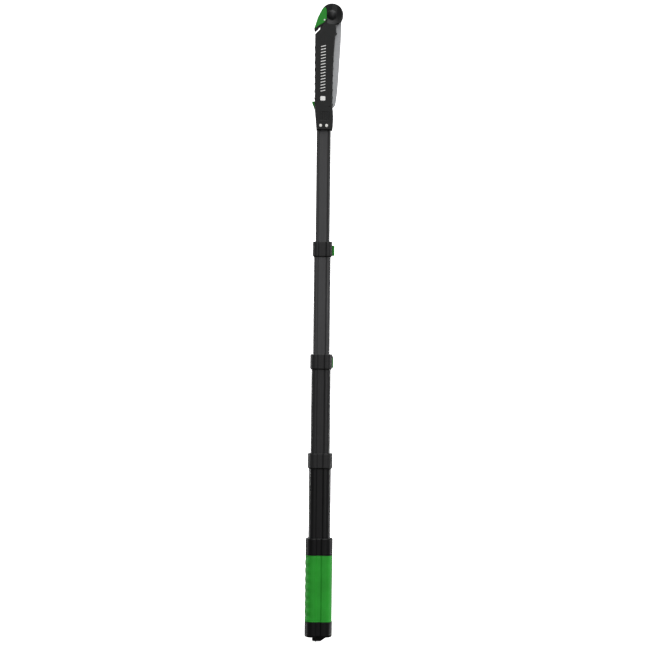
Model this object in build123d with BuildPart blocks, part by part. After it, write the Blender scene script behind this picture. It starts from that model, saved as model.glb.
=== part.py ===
"""Telescoping pole saw: four nested tubes, three lever clamps and a folding saw head.

Millimetres. The pole's axis is Z, with the saw head at the top and the folded blade's
back towards +X. The origin is the middle of the hand grip, on the pole's axis.
"""

import os
from math import cos, radians, sin, tan

from build123d import *

# ---------------------------------------------------------------- driving sizes
# Pole section: a rounded rectangle with a shallow groove down both wide faces.
POLE_W = 45.6
POLE_D = 33.5
POLE_CORNER = 11.0
GROOVE_FLOOR = 11.2
GROOVE_DEPTH = 2.0
GROOVE_SLOPE = 36.0
MIN_CORNER = 1.2
TUBE_WALL = 1.5
TUBE_STEP = 2.7

# Lengths along the pole, from the butt end upwards.
LUG_H = 9.8
CAP_H = 31.8
GRIP_LEN = 139.4
COLLAR_H = 35.0
OUTER_TUBE_SHOWN = 145.0
CLAMP_H = 32.0
TRAVEL_3 = 175.0
TRAVEL_2 = 203.0
TRAVEL_1 = 232.6
STOWED_GAP = 30.0
CLAMP_SEAT = 10.0
HEAD_SOCKET = 34.0

# Handle parts, as growth of the pole section.
GRIP_CORE_T = 2.0
GRIP_T = 5.2
COLLAR_T = 5.5
CAP_T = 5.9
CAP_FLOOR = 4.0
CAP_PLUG_H = 8.0
GRIP_BUMP_PITCH = 17.1
GRIP_BUMP_H = 0.8
GRIP_BUMP_R = 14.0
LUG_D = 15.0
LANYARD_R = 2.2
LANYARD_Z = 5.2
LANYARD_SPOT_R = 3.7
LANYARD_LEFT = -11.4
LANYARD_RIGHT = 4.0

# Clamps.
CLAMP_SKIN = 2.8
CLAMP_BEVEL = 2.4
WIPER_T = 1.2
WIPER_H = 6.0
SHOE_W = 9.0
SHOE_H = 11.0
SHOE_Z = 12.0
LEVER_REACH = 25.3
LEVER_H = 21.3
LEVER_Z = 3.3
LEVER_PIVOT_X = -9.5
LEVER_PIVOT_OUT = 4.9
LEVER_BARREL_R = 3.9
LEVER_CAM = 0.6
LEVER_T = 4.2
LEVER_PIN_R = 1.5
EAR_R = 3.5
EAR_TOP_H = 5.0
EAR_LOW_H = 2.5
GUARD_REACH = 2.4

# Saw head, drawn in the XZ plane from the head's bottom edge.
HEAD_T = 25.0
HEAD_BEVEL = 1.8
CHEEK_T = 9.5
PIVOT_X = 14.5
PIVOT_Z = 241.0
BOSS_R = 23.4
BOSS_RING_R = 20.0
DOME_R = 9.6
DOME_H = 2.8
DOME_LIP = 0.4
DISH_DEPTH = 2.2
BOLT_R = 4.0
BUSHING_T = 1.4
NECK_RIGHT = 24.0
FLANK_X = 17.3
THUMB_STOP = (24.2, 201.5)
SHOULDER_X = -20.4
SHOULDER_Z = 200.0
SHOULDER_RUN = 10.2
BUMP_PITCH = 15.2
HEAD_BUMP_R = 6.5
HEAD_BUMP_H = 0.8
RIVET_R = 2.0
RIVET_HEAD_R = 3.2
RIVET_HEAD_H = 1.2
RIVET_X = (-6.9, 5.6)
RIVET_Z = 9.3
SCREW_R = 1.5
SCREW_HEAD_R = 2.7
SCREW_HEAD_H = 2.0

# Blade.
BLADE_T = 1.4
TANG_R = 15.0
TOOTH_PITCH = 3.6
TOOTH_DEPTH = 2.8
TIP_LAND = 12.0
BACK_BEVEL_W = 2.2
BACK_BEVEL_T = 0.45
WASHER_R = 12.0

# Lock lever and blade keeper.
LOCK_PIN_X = -1.0
LOCK_PIN_Z = 229.7
LOCK_PIN_R = 1.75
LOCK_TONGUE_T = 6.2
LOCK_SPRING_X = -5.0
LOCK_SPRING_Z = 209.0
LOCK_SPRING_L = 15.0
LOCK_SPRING_R = 2.2
SPRING_WIRE_R = 0.4
COVER_ROUND = 3.0
COVER_EDGE = 1.0
KEEPER_W = 10.0
KEEPER_REACH = 25.2
KEEPER_SPRING_R = 2.6
KEEPER_BACK = -12.0
CATCH_Z = 3.2
CATCH_H = 4.0
CATCH_L = 22.0
KEEPER_Z = 40.1
KEEPER_H = 20.0

# Printed stripes on the head's front face.
STRIPE_T = 0.2
STRIPE_X = -2.8
STRIPE_W = 10.5
STRIPE_H = 1.6
STRIPE_PITCH = 6.2
STRIPE_LOW = 82.0
STRIPES = 16
STRIPE_SLANT = 14.0

# Clearances.
SLIDE_GAP = 0.3
RUN_GAP = 0.05
SIDE_GAP = 0.3
SWING_GAP = 0.4
SLOT_GAP = 0.6

# ---------------------------------------------------------------- derived levels
GRIP_Z = LUG_H + CAP_H
BUTT_Z = -(GRIP_Z + GRIP_LEN / 2)
CAP_Z = BUTT_Z + LUG_H
GRIP_Z = CAP_Z + CAP_H
COLLAR_Z = GRIP_Z + GRIP_LEN
CLAMP_3_Z = COLLAR_Z + COLLAR_H + OUTER_TUBE_SHOWN
CLAMP_2_Z = CLAMP_3_Z + CLAMP_H + TRAVEL_3
CLAMP_1_Z = CLAMP_2_Z + CLAMP_H + TRAVEL_2
HEAD_Z = CLAMP_1_Z + CLAMP_H + TRAVEL_1
STOWED_Z = CAP_Z + STOWED_GAP

# Inset of each tube's outside from the outer tube's outside.
INSET = {4: 0.0, 3: TUBE_STEP, 2: 2 * TUBE_STEP, 1: 3 * TUBE_STEP}
CLAMP_Z = {3: CLAMP_3_Z, 2: CLAMP_2_Z, 1: CLAMP_1_Z}
DROP = {3: TRAVEL_3, 2: TRAVEL_3 + TRAVEL_2, 1: TRAVEL_3 + TRAVEL_2 + TRAVEL_1}

HALF_HEAD = HEAD_T / 2
SLOT_HALF = BLADE_T / 2 + SLOT_GAP

os.makedirs("parts", exist_ok=True)


def save(builder, label):
    """Name a finished piece and write it as one STEP file."""
    builder.part.label = label
    export_step(builder.part, f"parts/{label}.step")


# ---------------------------------------------------------------- shared sketches
def pole_section(inset):
    """The grooved pole outline, moved inwards by inset."""
    half_w = POLE_W / 2 - inset
    half_d = POLE_D / 2 - inset
    floor = GROOVE_FLOOR / 2 + inset * tan(radians(GROOVE_SLOPE / 2))
    rim = floor + GROOVE_DEPTH / tan(radians(GROOVE_SLOPE))
    corner = max(POLE_CORNER - inset, MIN_CORNER)
    side = [(half_w, half_d), (rim, half_d), (floor, half_d - GROOVE_DEPTH)]
    top = side + [(-x, y) for x, y in reversed(side)]
    with BuildSketch() as outline:
        with BuildLine():
            Polyline(*top, *[(-x, -y) for x, y in top], close=True)
        make_face()
        fillet([v for v in outline.vertices() if abs(abs(v.X) - half_w) < 1e-4], corner)
        fillet([v for v in outline.vertices() if abs(abs(v.X) - floor) < 1e-4], 1.0)
    return outline.sketch


def ring_part(outside, inside, low, height):
    """A sleeve between two pole outlines."""
    with BuildPart() as sleeve:
        with BuildSketch(Plane.XY.offset(low)):
            add(pole_section(outside))
            add(pole_section(inside), mode=Mode.SUBTRACT)
        extrude(amount=height)
    return sleeve


# ---------------------------------------------------------------- tubes and guides
outer_tube = ring_part(
    INSET[4], INSET[4] + TUBE_WALL, CAP_Z + CAP_FLOOR, CLAMP_3_Z + CLAMP_SEAT - CAP_Z - CAP_FLOOR
)
save(outer_tube, "outer_tube")

GUIDE_H = 20.0
GUIDE_FOOT = 2.0
TUBE_TOP = {3: CLAMP_2_Z + CLAMP_SEAT, 2: CLAMP_1_Z + CLAMP_SEAT, 1: HEAD_Z + HEAD_SOCKET}

for n in (3, 2, 1):
    low = STOWED_Z + DROP[n] + GUIDE_FOOT
    with BuildPart() as tube:
        with BuildSketch(Plane.XY.offset(low)):
            add(pole_section(INSET[n]))
            add(pole_section(INSET[n] + TUBE_WALL), mode=Mode.SUBTRACT)
        extrude(amount=TUBE_TOP[n] - low)
        if n == 1:
            for x in RIVET_X:
                with BuildSketch(Plane.XZ):
                    with Locations((x, HEAD_Z + RIVET_Z)):
                        Circle(RIVET_R)
                extrude(amount=POLE_D, both=True, mode=Mode.SUBTRACT)
    save(tube, f"tube_{n}")

    # Guide bush round the tube's lower end, with a foot under the tube's rim.
    with BuildPart() as guide:
        with BuildSketch(Plane.XY.offset(low)):
            add(pole_section(INSET[n] - TUBE_STEP + TUBE_WALL + SLIDE_GAP))
            add(pole_section(INSET[n]), mode=Mode.SUBTRACT)
        extrude(amount=GUIDE_H)
        with BuildSketch(Plane.XY.offset(low - GUIDE_FOOT)):
            add(pole_section(INSET[n] - TUBE_STEP + TUBE_WALL + SLIDE_GAP))
            add(pole_section(INSET[n] + TUBE_WALL), mode=Mode.SUBTRACT)
        extrude(amount=GUIDE_FOOT)
    save(guide, f"tube_{n}_guide")

# ---------------------------------------------------------------- handle
save(ring_part(-GRIP_CORE_T, 0, GRIP_Z, GRIP_LEN), "grip_core")

GRIP_HALF = POLE_W / 2 + GRIP_T
GRIP_BUMPS = int((GRIP_LEN - GRIP_BUMP_PITCH / 2) / GRIP_BUMP_PITCH)
with BuildPart() as grip_sleeve:
    with BuildSketch(Plane.XY.offset(GRIP_Z)):
        add(pole_section(-GRIP_T))
    extrude(amount=GRIP_LEN)
    # Finger scallops: low rounded swells up the narrow -X side.
    for i in range(GRIP_BUMPS):
        with BuildSketch(Plane.XZ):
            swell_z = GRIP_Z + GRIP_BUMP_PITCH * (i + 0.75)
            with Locations((-GRIP_HALF - GRIP_BUMP_H + GRIP_BUMP_R, swell_z)):
                Circle(GRIP_BUMP_R)
            with Locations((-GRIP_HALF, swell_z)):
                Rectangle(GRIP_T, GRIP_BUMP_PITCH, mode=Mode.INTERSECT)
        extrude(amount=POLE_D / 2 - POLE_CORNER + 2, both=True)
    with BuildSketch(Plane.XY.offset(GRIP_Z)):
        add(pole_section(-GRIP_CORE_T))
    extrude(amount=GRIP_LEN, mode=Mode.SUBTRACT)
save(grip_sleeve, "grip_sleeve")

with BuildPart() as grip_collar:
    with BuildSketch(Plane.XY.offset(COLLAR_Z)):
        add(pole_section(-COLLAR_T))
    extrude(amount=COLLAR_H)
    fillet(grip_collar.edges().group_by(Axis.Z)[-1], 1.8)
    with BuildSketch(Plane.XY.offset(COLLAR_Z)):
        add(pole_section(0))
    extrude(amount=COLLAR_H, mode=Mode.SUBTRACT)
save(grip_collar, "grip_collar")

with BuildPart() as butt_cap:
    with BuildSketch(Plane.XY.offset(CAP_Z)):
        add(pole_section(-CAP_T))
    extrude(amount=CAP_H)
    fillet(butt_cap.edges().group_by(Axis.Z)[0], 4.5)
    # Lanyard lug: steep towards -X, sloping away towards +X.
    with BuildSketch(Plane.XZ):
        with BuildLine():
            Polyline(
                (-13.2, CAP_Z + 4),
                (-12.9, CAP_Z),
                (-12.0, BUTT_Z + 1.6),
                (-7.6, BUTT_Z + 1.3),
                (-5.5, BUTT_Z),
                (-3.2, BUTT_Z + 1.3),
                (5.4, BUTT_Z + 1.5),
                (17.6, CAP_Z),
                (17.6, CAP_Z + 4),
                close=True,
            )
        make_face()
    extrude(amount=LUG_D / 2, both=True)
    fillet(butt_cap.edges().filter_by(Axis.Y).group_by(Axis.Z)[1], 0.8)
    for x, reach in ((LANYARD_RIGHT, CAP_H), (LANYARD_LEFT, -CAP_H)):
        with BuildSketch(Plane.YZ.offset(x)):
            with Locations((0, BUTT_Z + LANYARD_Z)):
                Circle(LANYARD_SPOT_R)
        extrude(amount=reach, mode=Mode.SUBTRACT)
    with BuildSketch(Plane.YZ):
        with Locations((0, BUTT_Z + LANYARD_Z)):
            Circle(LANYARD_R)
    extrude(amount=POLE_W, both=True, mode=Mode.SUBTRACT)
    # Socket for the outer tube, with a hollow plug that goes inside it.
    with BuildSketch(Plane.XY.offset(CAP_Z + CAP_FLOOR)):
        add(pole_section(0))
        add(pole_section(TUBE_WALL), mode=Mode.SUBTRACT)
    extrude(amount=CAP_H, mode=Mode.SUBTRACT)
    with BuildSketch(Plane.XY.offset(CAP_Z + CAP_FLOOR)):
        add(pole_section(TUBE_WALL + CAP_FLOOR))
    extrude(amount=CAP_H, mode=Mode.SUBTRACT)
    with BuildSketch(Plane.XY.offset(CAP_Z + CAP_FLOOR + CAP_PLUG_H)):
        add(pole_section(TUBE_WALL - 0.5))
    extrude(amount=CAP_H, mode=Mode.SUBTRACT)
save(butt_cap, "butt_cap")


# ---------------------------------------------------------------- clamps
def clamp_back(n):
    """Y of clamp n's back face."""
    return POLE_D / 2 - INSET[n + 1] + CLAMP_SKIN


def clamp_half(n):
    """Half width of clamp n."""
    return POLE_W / 2 - INSET[n + 1] + CLAMP_SKIN


def shoe_window(n, gap):
    """A block through clamp n's back wall, shrunk by gap, for the brake shoe."""
    with BuildPart() as window:
        with BuildSketch(Plane.XY.offset(CLAMP_Z[n] + SHOE_Z + gap)):
            with Locations((LEVER_PIVOT_X, clamp_back(n))):
                Rectangle(SHOE_W - 2 * gap, 2 * (CLAMP_SKIN + TUBE_STEP + GROOVE_DEPTH + 1))
        extrude(amount=SHOE_H - 2 * gap)
    return window.part


for n in (3, 2, 1):
    tube_inset = INSET[n + 1]
    low = CLAMP_Z[n]
    back = clamp_back(n)
    pivot = (LEVER_PIVOT_X, back + LEVER_PIVOT_OUT)
    throat = INSET[n] - SLIDE_GAP

    with BuildPart() as body:
        with BuildSketch(Plane.XY.offset(low)):
            add(pole_section(tube_inset - CLAMP_SKIN))
        extrude(amount=CLAMP_H)
        chamfer(body.edges().group_by(Axis.Z)[0], CLAMP_BEVEL)
        fillet(body.edges().group_by(Axis.Z)[-1], 1.2)
        # Ears above and below the lever, with the pin's holes.
        for ear_low, ear_h in (
            (low + LEVER_Z - SIDE_GAP - EAR_LOW_H, EAR_LOW_H),
            (low + LEVER_Z + LEVER_H + SIDE_GAP, EAR_TOP_H),
        ):
            with BuildSketch(Plane.XY.offset(ear_low)):
                with Locations(pivot):
                    Circle(EAR_R)
                with Locations((LEVER_PIVOT_X, back + (LEVER_PIVOT_OUT - CLAMP_SKIN) / 2)):
                    Rectangle(2 * EAR_R, LEVER_PIVOT_OUT + CLAMP_SKIN)
                with Locations(pivot):
                    Circle(LEVER_PIN_R, mode=Mode.SUBTRACT)
            extrude(amount=ear_h)
        if n == 2:
            # Thumb guard over the lever's tip.
            edge = clamp_half(n)
            guard_low = low + LEVER_Z + LEVER_H + SIDE_GAP
            with BuildSketch(Plane.XZ.offset(-back + CLAMP_SKIN)):
                with BuildLine():
                    Polyline(
                        (edge - 4, guard_low),
                        (edge + GUARD_REACH, guard_low),
                        (edge + GUARD_REACH - 0.6, guard_low + 2.6),
                        (edge - 1, guard_low + 4.6),
                        (edge - 4, guard_low + 4.6),
                        close=True,
                    )
                make_face()
            extrude(amount=POLE_D / 2)
        with BuildSketch(Plane.XY.offset(low)):
            add(pole_section(tube_inset))
        extrude(amount=CLAMP_SEAT, mode=Mode.SUBTRACT)
        with BuildSketch(Plane.XY.offset(low)):
            add(pole_section(throat))
        extrude(amount=CLAMP_H, mode=Mode.SUBTRACT)
        with BuildSketch(Plane.XY.offset(low + CLAMP_H - 1 - WIPER_H)):
            add(pole_section(throat - WIPER_T))
        extrude(amount=WIPER_H, mode=Mode.SUBTRACT)
        add(shoe_window(n, 0), mode=Mode.SUBTRACT)
    save(body, f"clamp_{n}_body")

    save(ring_part(throat - WIPER_T, throat, low + CLAMP_H - 1 - WIPER_H, WIPER_H), f"clamp_{n}_wiper")

    # Brake shoe: the window's piece of the clamp wall, clear of the inner tube.
    with BuildPart() as shoe:
        with BuildSketch(Plane.XY.offset(low + SHOE_Z + RUN_GAP)):
            add(pole_section(tube_inset - CLAMP_SKIN))
            add(pole_section(throat), mode=Mode.SUBTRACT)
        extrude(amount=SHOE_H - 2 * RUN_GAP)
        add(shoe_window(n, RUN_GAP), mode=Mode.INTERSECT)
    save(shoe, f"clamp_{n}_shoe")

    # Lever pin with a flat head over the top ear.
    with BuildPart() as pin:
        pin_low = low + LEVER_Z - SIDE_GAP - EAR_LOW_H
        pin_top = low + LEVER_Z + LEVER_H + SIDE_GAP + EAR_TOP_H
        with BuildSketch(Plane.XY.offset(pin_low)):
            with Locations(pivot):
                Circle(LEVER_PIN_R)
        extrude(amount=pin_top - pin_low)
        with BuildSketch(Plane.XY.offset(pin_top)):
            with Locations(pivot):
                Circle(LEVER_PIN_R + 1)
        extrude(amount=0.8)
        chamfer(pin.edges().group_by(Axis.Z)[-1], 0.3)
    save(pin, f"clamp_{n}_pin")

    # Flip lever: an eccentric barrel, an arm along the back face and a hooked tip.
    lip = LEVER_REACH - clamp_half(n) - 2 * SWING_GAP
    with BuildPart() as lever:
        with BuildSketch(Plane.XY.offset(low + LEVER_Z)):
            with Locations((LEVER_PIVOT_X, pivot[1] - LEVER_CAM)):
                Circle(LEVER_BARREL_R)
            with Locations(pivot):
                Circle(LEVER_BARREL_R)
            with BuildLine():
                inner = Line((LEVER_PIVOT_X, back + 1.2), (LEVER_REACH, back + SWING_GAP))
                tip = Line(inner @ 1, (LEVER_REACH, back + LEVER_T))
                outer = ThreePointArc(
                    tip @ 1,
                    ((LEVER_REACH + LEVER_PIVOT_X) / 2, back + LEVER_T + 3.4),
                    (LEVER_PIVOT_X, pivot[1] + LEVER_BARREL_R),
                )
                Line(outer @ 1, inner @ 0)
            make_face()
            if lip > SLIDE_GAP + TUBE_WALL:
                with Locations((LEVER_REACH - lip / 2, back - 1.2)):
                    Rectangle(lip, LEVER_T)
            with Locations(pivot):
                Circle(LEVER_PIN_R + RUN_GAP, mode=Mode.SUBTRACT)
        extrude(amount=LEVER_H)
        fillet(lever.edges().filter_by(Axis.Z).group_by(Axis.X)[-1], 1.1)
        # Thumb ribs near the tip.
        for i in range(4):
            with BuildSketch(Plane.XY.offset(low + LEVER_Z + 2.5)):
                with Locations((LEVER_REACH - 4 - 2.4 * i, back + LEVER_T + 1.2 + 0.62 * i)):
                    Circle(0.9)
            extrude(amount=LEVER_H - 5, mode=Mode.SUBTRACT)
    save(lever, f"clamp_{n}_lever")


# ---------------------------------------------------------------- saw head sketches
# Everything here is drawn in XZ, with z counted from the head's bottom edge.
def at_head(points):
    """Head points moved up to the head's place on the pole."""
    return [(x, HEAD_Z + z) for x, z in points]


def bump_circles(edge, low, count):
    """Ripple swells along a nearly upright edge given as x for a height z."""
    side = 1 if edge(low) > 0 else -1
    for i in range(count):
        z = low + BUMP_PITCH * i
        with Locations((edge(z) + side * (HEAD_BUMP_H - HEAD_BUMP_R), HEAD_Z + z)):
            Circle(HEAD_BUMP_R)


def left_edge(z):
    """X of the head's left edge at height z."""
    return SHOULDER_X + 1.0 * (SHOULDER_Z - z) / SHOULDER_Z


def right_edge(z):
    """X of the head's right edge at height z, below the neck."""
    return FLANK_X + 4.8 * (max(z - 100, 0) / 96) ** 1.6


APEX = (SHOULDER_X + SHOULDER_RUN, SHOULDER_Z + SHOULDER_RUN)
HEEL = [(-15.4, 0), (-17.6, 24), (left_edge(44), 44)]
NECK_IN = [(-9.4, 226), (0, 232)]
NECK_OUT = [(NECK_RIGHT, 222), (NECK_RIGHT, 200), (right_edge(196), 196)]

with BuildSketch() as head_outline:
    with BuildLine():
        neck = Polyline(*at_head(HEEL + [(SHOULDER_X, SHOULDER_Z), APEX] + NECK_IN + NECK_OUT))
        flank = ThreePointArc(neck @ 1, *at_head([(right_edge(148), 148), (right_edge(100), 100)]))
        shin = Line(flank @ 1, *at_head([(right_edge(50), 50)]))
        toe = ThreePointArc(shin @ 1, *at_head([(FLANK_X + 2.0, 30), (FLANK_X + 0.4, 0)]))
        Line(toe @ 1, neck @ 0)
    make_face()
    with Locations((PIVOT_X, HEAD_Z + PIVOT_Z)):
        Circle(BOSS_R)

# Blade, folded: a convex back, a slightly hollow toothed edge and a round tang.
BACK = [(34.2, 228), (33.6, 190), (31.2, 147), (28.8, 104), (26.6, 76), (24.6, 60), (21.6, 50.0)]
BLADE_TIP = (14.5, 46.5)
EDGE_TOP = (4.0, 216.0)
EDGE_MID = (8.5, 132.0)

tooth_curve = ThreePointArc(*at_head([EDGE_TOP, EDGE_MID, BLADE_TIP]), mode=Mode.PRIVATE)
TEETH = int((tooth_curve.length - TIP_LAND) / TOOTH_PITCH)


def tooth_points():
    """Zigzag from the top of the toothed edge to the tip: tips on the curve, gullets inside."""
    points = []
    for i in range(TEETH):
        here = (i + 0.5) * TOOTH_PITCH / tooth_curve.length
        tip = tooth_curve @ here
        gullet = tooth_curve @ (here + 0.5 * TOOTH_PITCH / tooth_curve.length)
        inward = (tooth_curve % here).rotate(Axis.Z, 90)
        points += [(tip.X, tip.Y), (gullet.X + inward.X * TOOTH_DEPTH, gullet.Y + inward.Y * TOOTH_DEPTH)]
    return points[:-1]


with BuildSketch() as blade_outline:
    with BuildLine():
        back = Spline(*at_head(BACK + [BLADE_TIP]))
        teeth = Polyline(*reversed(tooth_points()))
        Line(back @ 1, teeth @ 0)
        root = Polyline(teeth @ 1, *at_head([EDGE_TOP, (5.2, 230)]))
        Line(root @ 1, back @ 0)
    make_face()
    with Locations((PIVOT_X, HEAD_Z + PIVOT_Z)):
        Circle(TANG_R)

# Slot between the shells: where the blade lies and all that it swings through.
SLOT_FLOOR = [(EDGE_TOP[0] - 4, 224), (EDGE_MID[0] - 4.5, 132), (BLADE_TIP[0] - 4, 42)]
with BuildSketch() as slot_outline:
    with BuildLine():
        Polyline(*at_head(SLOT_FLOOR + [(60, 42), (60, 224)]), close=True)
    make_face()
    with Locations((PIVOT_X, HEAD_Z + PIVOT_Z)):
        Circle(BOSS_R + 4)

# Lock lever, seen from the side: the cover's outline, its hollow and the core in it.
COVER_BACK = [(1.4, 257.4), (-5.6, 253.0), (-9.8, 245.4), (-15.1, 234.6), (-19.4, 221.0), (-22.3, 212.2)]
COVER_FRONT = [(-20.5, 212.0), (-11.5, 218.6), (-3.0, 223.2), (3.4, 231.4), (3.4, 250.0)]
with BuildSketch() as cover_outline:
    with BuildLine():
        Polyline(*at_head(COVER_BACK + COVER_FRONT), close=True)
    make_face()
    fillet(cover_outline.vertices().sort_by(Axis.Y)[2:], COVER_ROUND)

LINING = [(-12.3, 234.5), (-16.3, 224), (-19.2, 214.5), (-20.4, 209), (-20.6, 206)]
with BuildSketch() as core_block:
    with BuildLine():
        Polyline(*at_head(LINING + [(-13.2, 212.4), (-12.9, 221), (-10.8, 228), (-10.2, 234.5)]), close=True)
    make_face()

# Lip of the lever's core, seen below the cover.
LIP_LOW = [(-21.8, 208.6), (-20.4, 208.2), (-10.5, 216.6), (-4.0, 220.6)]
LIP_TOP = [(-5.0, 221.9), (-11.5, 218.4), (-20.5, 211.8), (-22.2, 211.8)]
with BuildSketch() as lip_outline:
    with BuildLine():
        Polyline(*at_head(LIP_LOW + LIP_TOP), close=True)
    make_face()

with BuildSketch() as cover_hollow:
    with BuildLine():
        Polyline(*at_head([(-30, 262), (-30, 243), (-9.6, 243)] + LINING + [(12, 206), (12, 262)]), close=True)
    make_face()

with BuildSketch() as tongue_outline:
    with BuildLine():
        Polyline(
            *at_head([(-12, 226), (-4, 224.5), (1.5, 224.5), (2.8, 228), (2.8, 247), (-4.5, 247), (-11, 238)]),
            close=True,
        )
    make_face()
    with Locations((PIVOT_X, HEAD_Z + PIVOT_Z)):
        Circle(TANG_R + SLOT_GAP, mode=Mode.SUBTRACT)

# Seat on the shells for the cover's cheeks, open to the left, with room for the swing.
SEAT = [(2.6, 270), (2.6, 257), (4.4, 246), (4.8, 232), (3.6, 224), (-1.2, 217.8), (-8.2, 214.2), (-13.6, 209.4)]
with BuildSketch() as seat_outline:
    with BuildLine():
        Polyline(*at_head(SEAT + [(-19, 202), (-30, 202), (-30, 270)]), close=True)
    make_face()


def cut_xz(sketch, low_y, high_y, mode=Mode.SUBTRACT):
    """Extrude an XZ sketch between two distances in front of the mid plane (towards -Y)."""
    with BuildSketch(Plane.XZ.offset(low_y)) as region:
        add(sketch)
    extrude(region.sketch, amount=high_y - low_y, mode=mode)


def drill_xz(x, z, radius, low_y, high_y, mode=Mode.SUBTRACT):
    """A round hole or post along Y between two distances in front of the mid plane."""
    with BuildSketch(Plane.XZ.offset(low_y)) as round_spot:
        with Locations((x, HEAD_Z + z)):
            Circle(radius)
    extrude(round_spot.sketch, amount=high_y - low_y, mode=mode)


# ---------------------------------------------------------------- saw head shells
SCREWS = [(11.3, 48.4), (-15.4, 186.0), (-14.6, 120.0), (-13.6, 70.0)]
CAVITY_WALL = 2.8
CAVITY = [(-17, 66), (6, 66), (3.2, 132), (-4.2, 206), (-11, 204), (-17.4, 197)]
BOLT_HOLE_R = BOLT_R
PANEL_X = 1.8
PANEL_Z = 29.4
PANEL_W = 18.8
PANEL_H = 18.0
PANEL_RIBS = 5
PANEL_DEPTH = 1.0

with BuildPart() as half_shell:
    cut_xz(head_outline.sketch, 0, HALF_HEAD, mode=Mode.ADD)
    chamfer(half_shell.faces().sort_by(Axis.Y)[0].outer_wire().edges(), HEAD_BEVEL)
    with BuildSketch(Plane.XZ):
        bump_circles(left_edge, 66, 8)
        bump_circles(right_edge, 38, 8)
        with Locations((THUMB_STOP[0], HEAD_Z + THUMB_STOP[1])):
            Rectangle(2.4, 2.4)
    extrude(amount=HALF_HEAD - HEAD_BEVEL - 1)
    # Blade slot, lever tongue slot and the seat of the lever's cheeks.
    cut_xz(slot_outline.sketch, 0, SLOT_HALF)
    with BuildSketch(Plane.XZ):
        with Locations((-5, HEAD_Z + 237)):
            Rectangle(20, 30)
    extrude(amount=LOCK_TONGUE_T / 2 + SIDE_GAP, mode=Mode.SUBTRACT)
    cut_xz(seat_outline.sketch, CHEEK_T, HALF_HEAD + 1)
    with BuildSketch(Plane.XY.offset(HEAD_Z + LOCK_SPRING_Z - 0.3)):
        with Locations((LOCK_SPRING_X, 0)):
            Circle(LOCK_SPRING_R + 0.9)
    extrude(amount=LOCK_SPRING_L + 2, mode=Mode.SUBTRACT)
    # Boss: a hollow dish round the pivot, inside a raised rim, flat under the dome.
    with BuildSketch(Plane.XY.offset(HEAD_Z + PIVOT_Z)) as dish:
        with BuildLine():
            floor_line = Line(
                (PIVOT_X, -HALF_HEAD + DISH_DEPTH), (PIVOT_X + DOME_R + 1, -HALF_HEAD + DISH_DEPTH)
            )
            wall = Line(floor_line @ 1, (PIVOT_X + BOSS_RING_R, -HALF_HEAD))
            Polyline(wall @ 1, (PIVOT_X + BOSS_RING_R, -HALF_HEAD - 1), (PIVOT_X, -HALF_HEAD - 1), floor_line @ 0)
        make_face()
    revolve(dish.sketch, axis=Axis((PIVOT_X, 0, HEAD_Z + PIVOT_Z), (0, 1, 0)), mode=Mode.SUBTRACT)
    drill_xz(PIVOT_X, PIVOT_Z, BOLT_HOLE_R, 0, HALF_HEAD + 1)
    drill_xz(LOCK_PIN_X, LOCK_PIN_Z, LOCK_PIN_R, 0, HALF_HEAD + 1)
    # Socket for the top tube, with the rivets' holes.
    with BuildSketch(Plane.XY.offset(HEAD_Z)):
        add(pole_section(INSET[1]))
    extrude(amount=HEAD_SOCKET, mode=Mode.SUBTRACT)
    for x in RIVET_X:
        drill_xz(x, RIVET_Z, RIVET_R, 0, HALF_HEAD + 1)
    # Hollow grip with posts for the screws.
    with BuildSketch(Plane.XZ):
        with BuildLine():
            Polyline(*at_head(CAVITY), close=True)
        make_face()
        for x, z in SCREWS:
            with Locations((x, HEAD_Z + z)):
                Circle(SCREW_HEAD_R + 1.2, mode=Mode.SUBTRACT)
    extrude(amount=HALF_HEAD - CAVITY_WALL, mode=Mode.SUBTRACT)
    # Way in for the keeper button, with a wider chamber behind the wall.
    with BuildSketch(Plane.XZ):
        with Locations((-20, HEAD_Z + KEEPER_Z + KEEPER_H / 2)):
            Rectangle(16, KEEPER_H + 2 * SWING_GAP)
    extrude(amount=KEEPER_W / 2 + SIDE_GAP, mode=Mode.SUBTRACT)
    with BuildSketch(Plane.XZ):
        with Locations((-7.5, HEAD_Z + KEEPER_Z + KEEPER_H / 2)):
            Rectangle(17, KEEPER_H + 4)
    extrude(amount=KEEPER_W / 2 + 2, mode=Mode.SUBTRACT)
    with BuildSketch(Plane.XZ):
        with Locations((8, HEAD_Z + KEEPER_Z + CATCH_Z)):
            Rectangle(20, CATCH_H + 1.2)
    extrude(amount=2 + SIDE_GAP, mode=Mode.SUBTRACT)

with BuildPart() as head_front_shell:
    add(half_shell.part)
    # Ribbed panel over the tube socket.
    with BuildSketch(Plane.XZ.offset(HALF_HEAD - PANEL_DEPTH)):
        with Locations((PANEL_X, HEAD_Z + PANEL_Z)):
            RectangleRounded(PANEL_W, PANEL_H, 1.5)
            with GridLocations(PANEL_W / PANEL_RIBS, 1, PANEL_RIBS, 1):
                Rectangle(1.6, PANEL_H - 2.4, mode=Mode.SUBTRACT)
    extrude(amount=PANEL_DEPTH, mode=Mode.SUBTRACT)
    drill_xz(*SCREWS[0], 1.3, HALF_HEAD - 2.5, HALF_HEAD + 1)
    for x, z in SCREWS:
        drill_xz(x, z, SCREW_R, 0, HALF_HEAD - 3)
save(head_front_shell, "head_front_shell")

with BuildPart() as head_rear_shell:
    mirror(half_shell.part, about=Plane.XZ)
    for x, z in SCREWS:
        drill_xz(x, z, SCREW_R, -HALF_HEAD - 1, 0)
        drill_xz(x, z, SCREW_HEAD_R, -HALF_HEAD - 1, -HALF_HEAD + SCREW_HEAD_H + 0.4)
save(head_rear_shell, "head_rear_shell")


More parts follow.
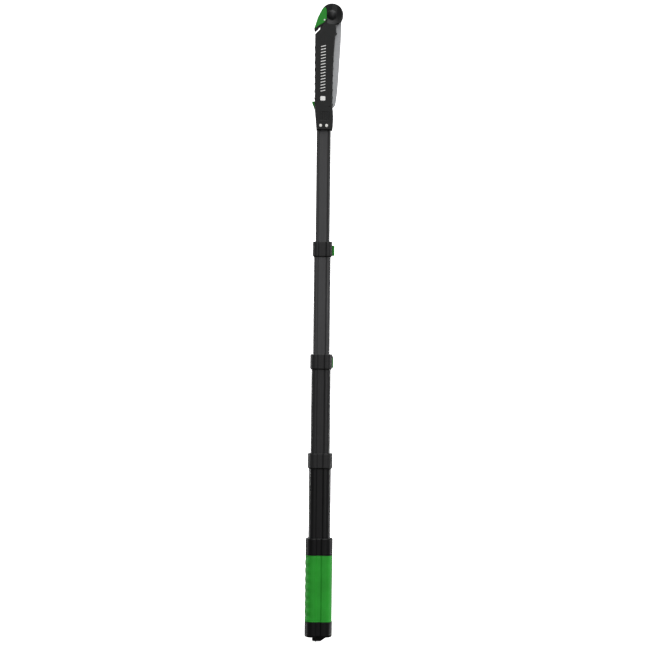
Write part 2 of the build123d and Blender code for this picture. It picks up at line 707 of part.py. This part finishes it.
# ---------------------------------------------------------------- blade and its pivot
with BuildPart() as blade:
    cut_xz(blade_outline.sketch, -BLADE_T / 2, BLADE_T / 2, mode=Mode.ADD)
    # Ground bevel along the back, on both sides.
    for side in (0, -1):
        flat = blade.faces().sort_by(Axis.Y)[side]
        back_edge = flat.edges().filter_by(GeomType.BSPLINE)
        chamfer(back_edge, length=BACK_BEVEL_W, length2=BACK_BEVEL_T, reference=flat)
    drill_xz(PIVOT_X, PIVOT_Z, BOLT_R + BUSHING_T + RUN_GAP, -BLADE_T, BLADE_T)
    # Notches for the lock's nose, folded and open.
    for angle in (176, 356):
        reach = TANG_R - 0.6
        notch_x = PIVOT_X + reach * cos(radians(angle))
        notch_z = PIVOT_Z + reach * sin(radians(angle))
        with BuildSketch(Plane.XZ.offset(-BLADE_T)):
            with Locations(Location((notch_x, HEAD_Z + notch_z), angle)):
                Rectangle(3.2, 5)
        extrude(amount=2 * BLADE_T, mode=Mode.SUBTRACT)
save(blade, "blade")

with BuildPart() as pivot_bushing:
    drill_xz(PIVOT_X, PIVOT_Z, BOLT_R + BUSHING_T, -SLOT_HALF, SLOT_HALF, mode=Mode.ADD)
    drill_xz(PIVOT_X, PIVOT_Z, BOLT_R, -SLOT_HALF, SLOT_HALF)
save(pivot_bushing, "pivot_bushing")

with BuildPart() as blade_washers:
    for low_y in (-SLOT_HALF, BLADE_T / 2 + RUN_GAP * 2):
        high_y = low_y + SLOT_GAP - RUN_GAP * 2
        drill_xz(PIVOT_X, PIVOT_Z, WASHER_R, low_y, high_y, mode=Mode.ADD)
        drill_xz(PIVOT_X, PIVOT_Z, BOLT_R + BUSHING_T, low_y, high_y)
save(blade_washers, "blade_washers")


def dome(side):
    """A low spherical cap on the boss, bulging away from the mid plane on one side."""
    rim = side * HALF_HEAD
    rise = DOME_H - DOME_LIP
    bulge = (DOME_R**2 + rise**2) / (2 * rise)
    axis = Axis((PIVOT_X, 0, HEAD_Z + PIVOT_Z), (0, 1, 0))
    with BuildSketch(Plane.XY.offset(HEAD_Z + PIVOT_Z)) as half_section:
        with BuildLine():
            foot = Polyline(
                (PIVOT_X, rim - side * DISH_DEPTH),
                (PIVOT_X + DOME_R, rim - side * DISH_DEPTH),
                (PIVOT_X + DOME_R, rim + side * DOME_LIP),
            )
            lid = RadiusArc(foot @ 1, (PIVOT_X, rim + side * DOME_H), -side * bulge)
            Line(lid @ 1, foot @ 0)
        make_face()
    revolve(half_section.sketch, axis=axis)


with BuildPart() as pivot_bolt:
    drill_xz(PIVOT_X, PIVOT_Z, BOLT_R, -HALF_HEAD + 3, HALF_HEAD, mode=Mode.ADD)
    dome(-1)
save(pivot_bolt, "pivot_bolt")

with BuildPart() as pivot_nut:
    dome(1)
    drill_xz(PIVOT_X, PIVOT_Z, BOLT_R, -HALF_HEAD, -HALF_HEAD + 3, mode=Mode.ADD)
save(pivot_nut, "pivot_nut")

with BuildPart() as tube_rivets:
    for x in RIVET_X:
        drill_xz(x, RIVET_Z, RIVET_R, -HALF_HEAD, HALF_HEAD, mode=Mode.ADD)
        for low_y in (-HALF_HEAD - RIVET_HEAD_H, HALF_HEAD):
            drill_xz(x, RIVET_Z, RIVET_HEAD_R, low_y, low_y + RIVET_HEAD_H, mode=Mode.ADD)
    heads = tube_rivets.edges().filter_by(GeomType.CIRCLE).group_by(Axis.Y)
    fillet(heads[0] + heads[-1], 0.9)
save(tube_rivets, "tube_rivets")

with BuildPart() as shell_screws:
    for x, z in SCREWS:
        drill_xz(x, z, SCREW_R, -HALF_HEAD + 0.4, HALF_HEAD - 3, mode=Mode.ADD)
        drill_xz(x, z, SCREW_HEAD_R - RUN_GAP, -HALF_HEAD + 0.4, -HALF_HEAD + 0.4 + SCREW_HEAD_H, mode=Mode.ADD)
        with BuildSketch(Plane.XZ.offset(-HALF_HEAD + 0.4)):
            with Locations((x, HEAD_Z + z)):
                RegularPolygon(1.3, 6)
        extrude(amount=1.2, mode=Mode.SUBTRACT)
save(shell_screws, "shell_screws")

# ---------------------------------------------------------------- lock lever
with BuildPart() as lock_lever:
    cut_xz(core_block.sketch, -CHEEK_T - SIDE_GAP, CHEEK_T + SIDE_GAP, mode=Mode.ADD)
    for low_y in (-HALF_HEAD + 0.4, CHEEK_T + SIDE_GAP):
        high_y = low_y + HALF_HEAD - 0.4 - CHEEK_T - SIDE_GAP
        cut_xz(lip_outline.sketch, low_y, high_y, mode=Mode.ADD)
    cut_xz(tongue_outline.sketch, -LOCK_TONGUE_T / 2, LOCK_TONGUE_T / 2, mode=Mode.ADD)
    drill_xz(LOCK_PIN_X, LOCK_PIN_Z, LOCK_PIN_R + RUN_GAP, -HALF_HEAD, HALF_HEAD)
save(lock_lever, "lock_lever")

with BuildPart() as lock_cover:
    cut_xz(cover_outline.sketch, -HALF_HEAD + 0.2, HALF_HEAD - 0.2, mode=Mode.ADD)
    rims = lock_cover.faces().sort_by(Axis.Y)
    fillet(rims[0].outer_wire().edges() + rims[-1].outer_wire().edges(), COVER_EDGE)
    cut_xz(cover_hollow.sketch, -CHEEK_T - SIDE_GAP, CHEEK_T + SIDE_GAP)
    drill_xz(LOCK_PIN_X, LOCK_PIN_Z, LOCK_PIN_R + RUN_GAP, -HALF_HEAD, HALF_HEAD)
save(lock_cover, "lock_cover")

with BuildPart() as lock_pin:
    drill_xz(LOCK_PIN_X, LOCK_PIN_Z, LOCK_PIN_R, -HALF_HEAD, HALF_HEAD, mode=Mode.ADD)
    chamfer(lock_pin.edges().filter_by(GeomType.CIRCLE), 0.3)
save(lock_pin, "lock_pin")


def coil(radius, turns, length):
    """A spring wire's centre line along its plane's own Z."""
    with BuildLine() as path:
        Helix(pitch=length / turns, height=length, radius=radius)
    return path.line


def spring(plane, radius, turns, length):
    """A coil spring standing on a plane."""
    centre_line = plane.from_local_coords(coil(radius, turns, length))
    with BuildPart() as wire:
        with BuildSketch(Plane(origin=centre_line @ 0, z_dir=centre_line % 0)) as section:
            Circle(SPRING_WIRE_R)
        sweep(section.sketch, path=centre_line, is_frenet=True)
    return wire


lock_spring_seat = Plane.XY.offset(HEAD_Z + LOCK_SPRING_Z + SPRING_WIRE_R)
lock_spring_seat = lock_spring_seat.shift_origin((LOCK_SPRING_X, 0, lock_spring_seat.origin.Z))
save(spring(lock_spring_seat, LOCK_SPRING_R, 7, LOCK_SPRING_L - 2 * SPRING_WIRE_R), "lock_spring")

# ---------------------------------------------------------------- blade keeper
KEEPER_TOP = KEEPER_Z + KEEPER_H
with BuildPart() as keeper_button:
    with BuildSketch(Plane.XZ):
        with BuildLine():
            Polyline(
                *at_head(
                    [
                        (-KEEPER_REACH, KEEPER_TOP),
                        (-KEEPER_REACH, KEEPER_TOP - 2.5),
                        (-18.6, KEEPER_Z),
                        (KEEPER_BACK, KEEPER_Z),
                        (KEEPER_BACK, KEEPER_TOP),
                    ]
                ),
                close=True,
            )
        make_face()
    extrude(amount=KEEPER_W / 2 - SIDE_GAP, both=True)
    outer = keeper_button.edges().group_by(Axis.X)[0]
    fillet(outer, 0.9)
    # Flange behind the shells' wall.
    with BuildSketch(Plane.YZ.offset(KEEPER_BACK)):
        with Locations((0, HEAD_Z + KEEPER_Z + KEEPER_H / 2)):
            Rectangle(KEEPER_W + 3.2, KEEPER_H + 3.2)
    extrude(amount=-3)
    # Catch bar towards the folded blade's tip.
    with BuildSketch(Plane.YZ.offset(KEEPER_BACK)):
        with Locations((0, HEAD_Z + KEEPER_Z + CATCH_Z)):
            Rectangle(4, CATCH_H)
    extrude(amount=CATCH_L)
    chamfer(keeper_button.faces().sort_by(Axis.X)[-1].edges(), 0.8)
save(keeper_button, "keeper_button")

keeper_spring_seat = Plane(
    origin=(KEEPER_BACK + SPRING_WIRE_R, 0, HEAD_Z + KEEPER_TOP - 5), x_dir=(0, 1, 0), z_dir=(1, 0, 0)
)
save(spring(keeper_spring_seat, KEEPER_SPRING_R, 6, 12.0), "keeper_spring")

# ---------------------------------------------------------------- generic side stripes
with BuildPart() as side_stripes:
    with BuildSketch(Plane.XZ.offset(HALF_HEAD)):
        for i in range(STRIPES):
            with Locations(Location((STRIPE_X, HEAD_Z + STRIPE_LOW + STRIPE_PITCH * i), STRIPE_SLANT)):
                SlotOverall(STRIPE_W, STRIPE_H)
        with Locations((STRIPE_X, HEAD_Z + 66)):
            RectangleRounded(STRIPE_W, 9, 2)
    extrude(amount=STRIPE_T)
save(side_stripes, "side_stripes")
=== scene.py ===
"""Looks of the telescoping pole saw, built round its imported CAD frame. Metres, +Z up."""

import math

import bmesh
import bpy
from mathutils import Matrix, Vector


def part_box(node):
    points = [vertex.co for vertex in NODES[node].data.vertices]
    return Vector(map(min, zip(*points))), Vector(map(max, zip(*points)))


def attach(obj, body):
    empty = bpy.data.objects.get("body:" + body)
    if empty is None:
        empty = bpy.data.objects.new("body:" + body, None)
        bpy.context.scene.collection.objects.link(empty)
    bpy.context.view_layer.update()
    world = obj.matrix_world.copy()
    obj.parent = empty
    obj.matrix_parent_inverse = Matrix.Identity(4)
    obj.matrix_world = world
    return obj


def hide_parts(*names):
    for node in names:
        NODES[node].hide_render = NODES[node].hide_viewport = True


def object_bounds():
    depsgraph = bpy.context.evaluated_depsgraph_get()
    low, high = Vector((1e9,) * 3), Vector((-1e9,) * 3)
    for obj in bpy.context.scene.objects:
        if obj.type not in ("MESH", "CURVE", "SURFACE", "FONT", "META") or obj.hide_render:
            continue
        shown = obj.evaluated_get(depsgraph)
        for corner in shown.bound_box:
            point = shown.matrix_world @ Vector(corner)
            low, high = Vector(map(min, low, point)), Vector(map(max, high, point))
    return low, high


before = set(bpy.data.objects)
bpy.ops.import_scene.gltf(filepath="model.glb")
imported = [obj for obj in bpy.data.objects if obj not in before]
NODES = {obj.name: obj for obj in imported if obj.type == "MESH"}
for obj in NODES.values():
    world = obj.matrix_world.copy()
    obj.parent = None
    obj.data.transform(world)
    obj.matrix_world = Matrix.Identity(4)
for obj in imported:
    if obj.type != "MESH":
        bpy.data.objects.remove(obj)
CAD_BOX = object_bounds()
MM = 0.001


# ---------------------------------------------------------------- shader helpers
# Sockets of the Mix node's colour mode: factor, first and second colour, and the result.
MIX_COLOUR_INPUTS = (0, 6, 7)
MIX_COLOUR_OUTPUT = 2
# Cosine between the rounded and the flat normal at which edge wear starts and is full.
WEAR_FROM = 0.995
WEAR_FULL = 0.88


class Shader:
    """A node tree under construction, ending in one Principled surface."""

    def __init__(self, name):
        self.material = bpy.data.materials.new(name)
        self.material.use_nodes = True
        self.tree = self.material.node_tree
        self.principled = self.tree.nodes["Principled BSDF"]
        self.place = self.node("ShaderNodeTexCoord").outputs["Object"]

    def feed(self, socket, value):
        """Link a socket to another node's output, or set it to a constant."""
        if isinstance(value, bpy.types.NodeSocket):
            self.tree.links.new(value, socket)
        else:
            socket.default_value = value

    def node(self, kind, inputs=(), **settings):
        """A new node, with its settings and its inputs by name or number."""
        made = self.tree.nodes.new(kind)
        for key, value in settings.items():
            setattr(made, key, value)
        for key, value in dict(inputs).items():
            self.feed(made.inputs[key], value)
        return made

    def stretched(self, scale):
        """Object position multiplied by a scale per axis."""
        inputs = {0: self.place, 1: scale}
        return self.node("ShaderNodeVectorMath", inputs, operation="MULTIPLY").outputs[0]

    def noise(self, scale, detail=4.0, place=None, rough=0.55):
        inputs = {"Vector": place or self.place, "Scale": scale, "Detail": detail, "Roughness": rough}
        return self.node("ShaderNodeTexNoise", inputs).outputs["Fac"]

    def ranged(self, value, from_low, from_high, to_low, to_high):
        """A value mapped from one range to another, and held inside it."""
        inputs = {0: value, 1: from_low, 2: from_high, 3: to_low, 4: to_high}
        return self.node("ShaderNodeMapRange", inputs).outputs[0]

    def blend(self, factor, first, second):
        """The first colour at factor 0, the second at 1."""
        mix = self.node("ShaderNodeMix", data_type="RGBA")
        for index, value in zip(MIX_COLOUR_INPUTS, (factor, first, second)):
            self.feed(mix.inputs[index], value)
        return mix.outputs[MIX_COLOUR_OUTPUT]

    def math(self, operation, first, second=0.0):
        return self.node("ShaderNodeMath", {0: first, 1: second}, operation=operation).outputs[0]

    def edges(self, radius):
        """Edge wear, 1 on a hard edge and 0 past radius from it, and the rounded normal."""
        rounded = self.node("ShaderNodeBevel", {"Radius": radius}, samples=6).outputs[0]
        flat = self.node("ShaderNodeNewGeometry").outputs["Normal"]
        along = self.node("ShaderNodeVectorMath", {0: rounded, 1: flat}, operation="DOT_PRODUCT")
        return self.ranged(along.outputs["Value"], WEAR_FROM, WEAR_FULL, 0.0, 1.0), rounded

    def bump(self, height, distance, strength=1.0, normal=None):
        inputs = {"Height": height, "Distance": distance, "Strength": strength}
        if normal is not None:
            inputs["Normal"] = normal
        return self.node("ShaderNodeBump", inputs).outputs[0]

    def set(self, **values):
        """Feed the surface's own sockets, and give the finished material."""
        for key, value in values.items():
            self.feed(self.principled.inputs[key.replace("_", " ")], value)
        return self.material


def linear(level):
    """A linear level from an sRGB level of 0 to 255."""
    level = level / 255
    return level / 12.92 if level <= 0.04045 else ((level + 0.055) / 1.055) ** 2.4


def rgb(red, green, blue):
    """A linear colour from sRGB levels."""
    return (linear(red), linear(green), linear(blue), 1.0)


def scaled(colour, share):
    """A colour made darker or lighter."""
    return tuple(min(1.0, share * c) for c in colour[:3]) + (1,)


# ---------------------------------------------------------------- materials
def moulded_plastic(name, colour, worn, roughness=0.42, gloss=0.35):
    """Injection-moulded plastic: fine spark-eroded grain, faint flow marks, polished edges."""
    s = Shader(name)
    flow = s.noise(22.0, 3.0, s.stretched((1.0, 1.0, 0.35)))
    mottled = s.blend(s.ranged(flow, 0.3, 0.7, 0.0, 1.0), colour, scaled(colour, 0.86))
    rub, rounded = s.edges(0.6 * MM)
    scuffs = s.ranged(s.noise(140.0, 5.0), 0.52, 0.66, 0.0, 1.0)
    wear = s.math("MULTIPLY", rub, s.ranged(s.noise(60.0), 0.4, 0.65, 0.2, 0.9))
    tone = s.blend(wear, mottled, worn)
    fine = s.noise(2600.0, 2.0)
    rough = s.ranged(fine, 0.3, 0.7, roughness - 0.05, roughness + 0.06)
    rough = s.math("ADD", rough, s.math("MULTIPLY", scuffs, 0.05))
    rough = s.math("SUBTRACT", rough, s.math("MULTIPLY", rub, 0.08))
    normal = s.bump(fine, 0.05 * MM, 0.6, rounded)
    return s.set(Base_Color=tone, Roughness=rough, Normal=normal, Specular_IOR_Level=gloss)


def anodised_tube(name, colour):
    """Anodised aluminium drawn along the pole: faint lengthwise die lines and slide marks."""
    s = Shader(name)
    drawn = s.noise(1.0, 6.0, s.stretched((900.0, 900.0, 6.0)), 0.7)
    cloud = s.noise(9.0, 3.0)
    tone = s.blend(s.ranged(drawn, 0.35, 0.65, 0.0, 1.0), colour, scaled(colour, 1.25))
    tone = s.blend(s.ranged(cloud, 0.35, 0.7, 0.0, 0.35), tone, scaled(colour, 0.7))
    marks = s.noise(1.0, 2.0, s.stretched((420.0, 420.0, 2.5)), 0.4)
    scratch = s.ranged(marks, 0.72, 0.76, 0.0, 0.5)
    tone = s.blend(scratch, tone, rgb(120, 120, 122))
    rough = s.ranged(drawn, 0.3, 0.7, 0.30, 0.42)
    normal = s.bump(drawn, 0.012 * MM, 0.5)
    return s.set(Base_Color=tone, Metallic=0.2, Roughness=rough, Normal=normal, Specular_IOR_Level=0.4)


def soft_rubber(name, colour, shade, roughness=0.5):
    """Soft-touch rubber: a matt skin with fine pores and darker hollows."""
    s = Shader(name)
    pores = s.node("ShaderNodeTexVoronoi", {"Vector": s.place, "Scale": 1500.0}).outputs["Distance"]
    cloud = s.noise(30.0, 4.0)
    tone = s.blend(s.ranged(cloud, 0.3, 0.7, 0.0, 0.8), colour, shade)
    rub, rounded = s.edges(0.8 * MM)
    tone = s.blend(s.math("MULTIPLY", rub, 0.35), tone, scaled(colour, 1.5))
    rough = s.ranged(s.noise(300.0), 0.3, 0.7, roughness - 0.06, roughness + 0.08)
    normal = s.bump(s.math("ADD", pores, s.noise(700.0, 3.0)), 0.05 * MM, 0.5, rounded)
    return s.set(
        Base_Color=tone, Roughness=rough, Normal=normal,
        Specular_IOR_Level=0.2, Sheen_Weight=0.05, Sheen_Roughness=0.4,
    )


def ground_metal(name, colour, roughness, along=(60.0, 60.0, 900.0), metallic=1.0):
    """Ground or turned metal: fine parallel grinding lines under a faint cloudy tarnish."""
    s = Shader(name)
    lines = s.noise(1.0, 5.0, s.stretched(along), 0.65)
    cloud = s.noise(35.0, 3.0)
    tone = s.blend(s.ranged(lines, 0.3, 0.7, 0.0, 0.6), colour, scaled(colour, 0.72))
    tone = s.blend(s.ranged(cloud, 0.4, 0.75, 0.0, 0.25), tone, scaled(colour, 0.6))
    rough = s.ranged(lines, 0.3, 0.7, roughness - 0.06, roughness + 0.1)
    _, rounded = s.edges(0.3 * MM)
    normal = s.bump(lines, 0.01 * MM, 0.5, rounded)
    return s.set(Base_Color=tone, Metallic=metallic, Roughness=rough, Normal=normal)


def print_ink(name, colour):
    """Screen-printed ink: slightly uneven cover with a few pinholes."""
    s = Shader(name)
    cover = s.noise(420.0, 4.0)
    tone = s.blend(s.ranged(cover, 0.62, 0.75, 0.0, 0.5), colour, scaled(colour, 0.45))
    normal = s.bump(s.noise(1800.0, 2.0), 0.02 * MM, 0.5)
    return s.set(Base_Color=tone, Roughness=s.ranged(cover, 0.3, 0.7, 0.45, 0.6), Normal=normal)


BLACK_HEAD = moulded_plastic("head_plastic", rgb(28, 29, 29), rgb(62, 62, 63), gloss=0.3)
BLACK_CLAMP = moulded_plastic("clamp_plastic", rgb(35, 35, 36), rgb(70, 70, 71), 0.46)
BLACK_CAP = moulded_plastic("cap_plastic", rgb(14, 14, 15), rgb(44, 44, 45), 0.4, gloss=0.25)
BLACK_SLIDE = moulded_plastic("guide_plastic", rgb(58, 58, 60), rgb(90, 90, 92), 0.35)
GREEN_LEVER = moulded_plastic("lever_plastic", rgb(34, 146, 38), rgb(110, 190, 100), 0.36)
GREEN_TIP = moulded_plastic("clamp_lever_plastic", rgb(30, 140, 32), rgb(110, 190, 100), 0.38)
GRIP_RUBBER = soft_rubber("grip_rubber", rgb(45, 159, 49), rgb(38, 141, 41))
BRAKE_RUBBER = soft_rubber("brake_rubber", rgb(40, 40, 41), rgb(26, 26, 27), 0.65)
BLADE_STEEL = ground_metal("blade_steel", rgb(176, 178, 180), 0.38, metallic=0.5)
BRIGHT_STEEL = ground_metal("bright_steel", rgb(250, 249, 244), 0.4, (700.0, 60.0, 700.0), 0.12)
SPRING_STEEL = ground_metal("spring_steel", rgb(150, 152, 156), 0.3, (400.0, 400.0, 400.0))
BRONZE = ground_metal("bronze", rgb(176, 128, 70), 0.35, (500.0, 500.0, 60.0))
WHITE_INK = print_ink("white_ink", rgb(250, 250, 248))

NODE_MATERIAL = {
    "tube_1": anodised_tube("tube_1_anodised", rgb(66, 66, 67)),
    "tube_2": anodised_tube("tube_2_anodised", rgb(66, 66, 67)),
    "tube_3": anodised_tube("tube_3_anodised", rgb(44, 44, 45)),
    "outer_tube": anodised_tube("outer_tube_anodised", rgb(22, 22, 23)),
    "head_front_shell": BLACK_HEAD,
    "head_rear_shell": BLACK_HEAD,
    "lock_lever": BLACK_HEAD,
    "lock_cover": GREEN_LEVER,
    "keeper_button": GREEN_LEVER,
    "grip_collar": BLACK_CAP,
    "butt_cap": BLACK_CAP,
    "grip_core": BLACK_CAP,
    "grip_sleeve": GRIP_RUBBER,
    "pivot_bolt": BLACK_HEAD,
    "pivot_nut": BLACK_HEAD,
    "blade": BLADE_STEEL,
    "tube_rivets": BRIGHT_STEEL,
    "lock_pin": BRIGHT_STEEL,
    "shell_screws": SPRING_STEEL,
    "lock_spring": SPRING_STEEL,
    "keeper_spring": SPRING_STEEL,
    "blade_washers": BRONZE,
    "pivot_bushing": BRONZE,
    "side_stripes": WHITE_INK,
}
for n in (1, 2, 3):
    NODE_MATERIAL[f"tube_{n}_guide"] = BLACK_SLIDE
    NODE_MATERIAL[f"clamp_{n}_body"] = BLACK_CLAMP
    NODE_MATERIAL[f"clamp_{n}_lever"] = GREEN_TIP
    NODE_MATERIAL[f"clamp_{n}_wiper"] = BRAKE_RUBBER
    NODE_MATERIAL[f"clamp_{n}_shoe"] = BRAKE_RUBBER
    NODE_MATERIAL[f"clamp_{n}_pin"] = BRIGHT_STEEL

for name, node in NODES.items():
    node.data.materials.clear()
    node.data.materials.append(NODE_MATERIAL[name])


# ---------------------------------------------------------------- grip sleeve
GRIP_RINGS = 200
GRIP_AROUND = 264
GRIP_REACH = 24 * MM
SWELL_PITCH = 17.1 * MM
SWELL_DEPTH = 0.8 * MM
DIMPLE_PITCH = 3.4 * MM
DIMPLE_DEPTH = 0.4 * MM
DIMPLES_FROM_END = (5 * MM, 8 * MM)
END_ROUND = 1.6 * MM
GROOVE_AT = 3.2 * MM
GROOVE_WIDTH = 0.8 * MM
GROOVE_DEPTH = 0.45 * MM
FLAT_END = 0.02 * MM


def end_loops(node, level, count):
    """(ray, inner, outer) distances from the pole axis of a sleeve's end face, at even angles."""
    mesh = NODES[node].data
    edges = [[mesh.vertices[v].co for v in edge.vertices] for edge in mesh.edges]
    ends = [[p.xy for p in edge] for edge in edges if all(abs(p.z - level) < FLAT_END for p in edge)]
    loops = []
    for i in range(count):
        turn = math.tau * (i + 0.5) / count
        ray = Vector((math.cos(turn), math.sin(turn)))
        hits = []
        for a, b in ends:
            side_a, side_b = ray.x * a.y - ray.y * a.x, ray.x * b.y - ray.y * b.x
            if side_a * side_b <= 0 and abs(side_a - side_b) > 1e-12:
                point = a.lerp(b, side_a / (side_a - side_b))
                if point.dot(ray) > 0:
                    hits.append(point.dot(ray))
        loops.append((ray, min(hits), max(hits)))
    return loops


def smooth(low, high, value):
    """0 up to low, 1 from high on, with a soft step between."""
    t = min(max((value - low) / (high - low), 0.0), 1.0)
    return t * t * (3 - 2 * t)


def grip_skin(ray, height, length):
    """How far the grip's skin sinks below its plain outline at one place."""
    from_end = min(height, length - height)
    sink = END_ROUND * (1 - math.sqrt(max(0.0, 1 - (1 - min(from_end / END_ROUND, 1.0)) ** 2)))
    sink += GROOVE_DEPTH * math.exp(-(((from_end - GROOVE_AT) / GROOVE_WIDTH) ** 2))
    fingers = smooth(0.55, 0.8, -ray.x)
    wave = 0.5 + 0.5 * math.cos(math.tau * (height / SWELL_PITCH - 0.75))
    sink += fingers * SWELL_DEPTH * (wave - 1)
    panel = smooth(0.30, 0.42, abs(ray.x)) * smooth(*DIMPLES_FROM_END, from_end)
    around = math.atan2(ray.y, ray.x) * GRIP_REACH
    across, along = (math.cos(math.tau * way / DIMPLE_PITCH) for way in (around, height))
    sink += panel * DIMPLE_DEPTH * smooth(0.35, 0.9, (across + along) / 2)
    return sink


def grip_sleeve():
    """The rubber grip: a closed skin with finger swells, dimples, grooves and rounded ends."""
    low, high = (corner.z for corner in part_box("grip_sleeve"))
    length = high - low
    loops = end_loops("grip_sleeve", high, GRIP_AROUND)
    points, faces = [], []
    for ring in range(GRIP_RINGS + 1):
        height = length * ring / GRIP_RINGS
        for ray, _, reach in loops:
            out = ray * (reach - grip_skin(ray, height, length))
            points.append((out.x, out.y, low + height))
    for level in (high, low):
        for ray, bore, _ in loops:
            points.append((ray.x * bore, ray.y * bore, level))
    rows = GRIP_RINGS + 3
    for ring in range(rows):
        for i in range(GRIP_AROUND):
            j = (i + 1) % GRIP_AROUND
            this, above = ring * GRIP_AROUND, (ring + 1) % rows * GRIP_AROUND
            faces.append((this + i, this + j, above + j, above + i))
    mesh = bpy.data.meshes.new("grip_skin")
    mesh.from_pydata(points, [], faces)
    mesh.update()
    for polygon in mesh.polygons[: GRIP_RINGS * GRIP_AROUND]:
        polygon.use_smooth = True
    mesh.materials.append(GRIP_RUBBER)
    piece = bpy.data.objects.new("grip_skin", mesh)
    bpy.context.scene.collection.objects.link(piece)
    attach(piece, "handle")
    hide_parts("grip_sleeve")


grip_sleeve()


# ---------------------------------------------------------------- stage, light and camera
FRAME_HEIGHT = 1.350
VIEW_CENTRE = Vector((2.9 * MM, 0.0, 554 * MM))
LENS = 135.0
SENSOR = 36.0
ROLL = 0.65
distance = FRAME_HEIGHT * LENS / SENSOR
FLOOR_RADIUS = 9.0
WALL_BEND = 3.0
WALL_BEND_STEPS = 12
WALL_HEIGHT = 30.0
WALL_SIDES = 96

camera_data = bpy.data.cameras.new("camera")
camera_data.lens = LENS
camera_data.sensor_width = SENSOR
camera_data.clip_end = 60.0
camera = bpy.data.objects.new("camera", camera_data)
camera.location = VIEW_CENTRE - Vector((0.0, distance, 0.0))
camera.rotation_euler = (math.radians(90), math.radians(-ROLL), 0.0)
bpy.context.scene.collection.objects.link(camera)
bpy.context.scene.camera = camera


def floor_material():
    """Matt off-white paint that lights itself, so the backdrop is evenly pale."""
    s = Shader("floor_paint")
    cloud = s.noise(1.5, 3.0)
    tone = s.blend(s.ranged(cloud, 0.3, 0.7, 0.0, 1.0), rgb(250, 250, 250), rgb(246, 246, 246))
    return s.set(Base_Color=tone, Roughness=0.9, Emission_Color=rgb(255, 255, 255), Emission_Strength=0.9)


def cyclorama():
    """A round floor that sweeps up into a wall on every side."""
    low = CAD_BOX[0].z
    mesh = bpy.data.meshes.new("sweep")
    bm = bmesh.new()
    profile = [(FLOOR_RADIUS, low)]
    for i in range(1, WALL_BEND_STEPS + 1):
        a = math.radians(90 * i / WALL_BEND_STEPS)
        profile.append((FLOOR_RADIUS + WALL_BEND * math.sin(a), low + WALL_BEND * (1 - math.cos(a))))
    profile.append((FLOOR_RADIUS + WALL_BEND, WALL_HEIGHT))
    turns = [math.tau * i / WALL_SIDES for i in range(WALL_SIDES)]
    rows = [[bm.verts.new((r * math.cos(t), r * math.sin(t), z)) for t in turns] for r, z in profile]
    bm.faces.new(rows[0])
    for lower, upper in zip(rows, rows[1:]):
        for i in range(WALL_SIDES):
            bm.faces.new((lower[i - 1], lower[i], upper[i], upper[i - 1])).smooth = True
    bm.to_mesh(mesh)
    bm.free()
    sweep = bpy.data.objects.new("sweep", mesh)
    bpy.context.scene.collection.objects.link(sweep)
    sweep.data.materials.append(floor_material())
    sweep.visible_glossy = False
    sweep.visible_diffuse = False
    sweep.visible_shadow = False


cyclorama()


def softbox(name, place, target, size, power):
    """A rectangular area light that faces target."""
    data = bpy.data.lights.new(name, "AREA")
    data.shape = "RECTANGLE"
    data.size, data.size_y = size
    data.energy = power
    light = bpy.data.objects.new(name, data)
    light.location = place
    light.rotation_euler = (Vector(target) - Vector(place)).to_track_quat("-Z", "Y").to_euler()
    bpy.context.scene.collection.objects.link(light)


AIM = (0.0, 0.0, 0.55)
softbox("front", (0.9, -4.2, 1.5), AIM, (0.8, 3.0), 26)
softbox("side_left", (-3.0, 0.9, 0.6), AIM, (0.22, 3.2), 55)
softbox("side_right", (3.0, 0.9, 0.6), AIM, (0.22, 3.2), 55)
softbox("back", (-0.7, 3.4, 1.5), AIM, (0.8, 2.6), 40)

sky_data = bpy.data.lights.new("overhead", "SUN")
sky_data.energy = 3.0
sky_data.angle = math.radians(50)
sky = bpy.data.objects.new("overhead", sky_data)
sky.rotation_euler = Vector((-0.25, 0.75, -1.0)).to_track_quat("-Z", "Y").to_euler()
bpy.context.scene.collection.objects.link(sky)

world = bpy.data.worlds.new("studio")
world.use_nodes = True
world.node_tree.nodes["Background"].inputs["Color"].default_value = (1.0, 1.0, 1.0, 1.0)
world.node_tree.nodes["Background"].inputs["Strength"].default_value = 0.07
bpy.context.scene.world = world
bpy.context.scene.view_settings.view_transform = "Standard"
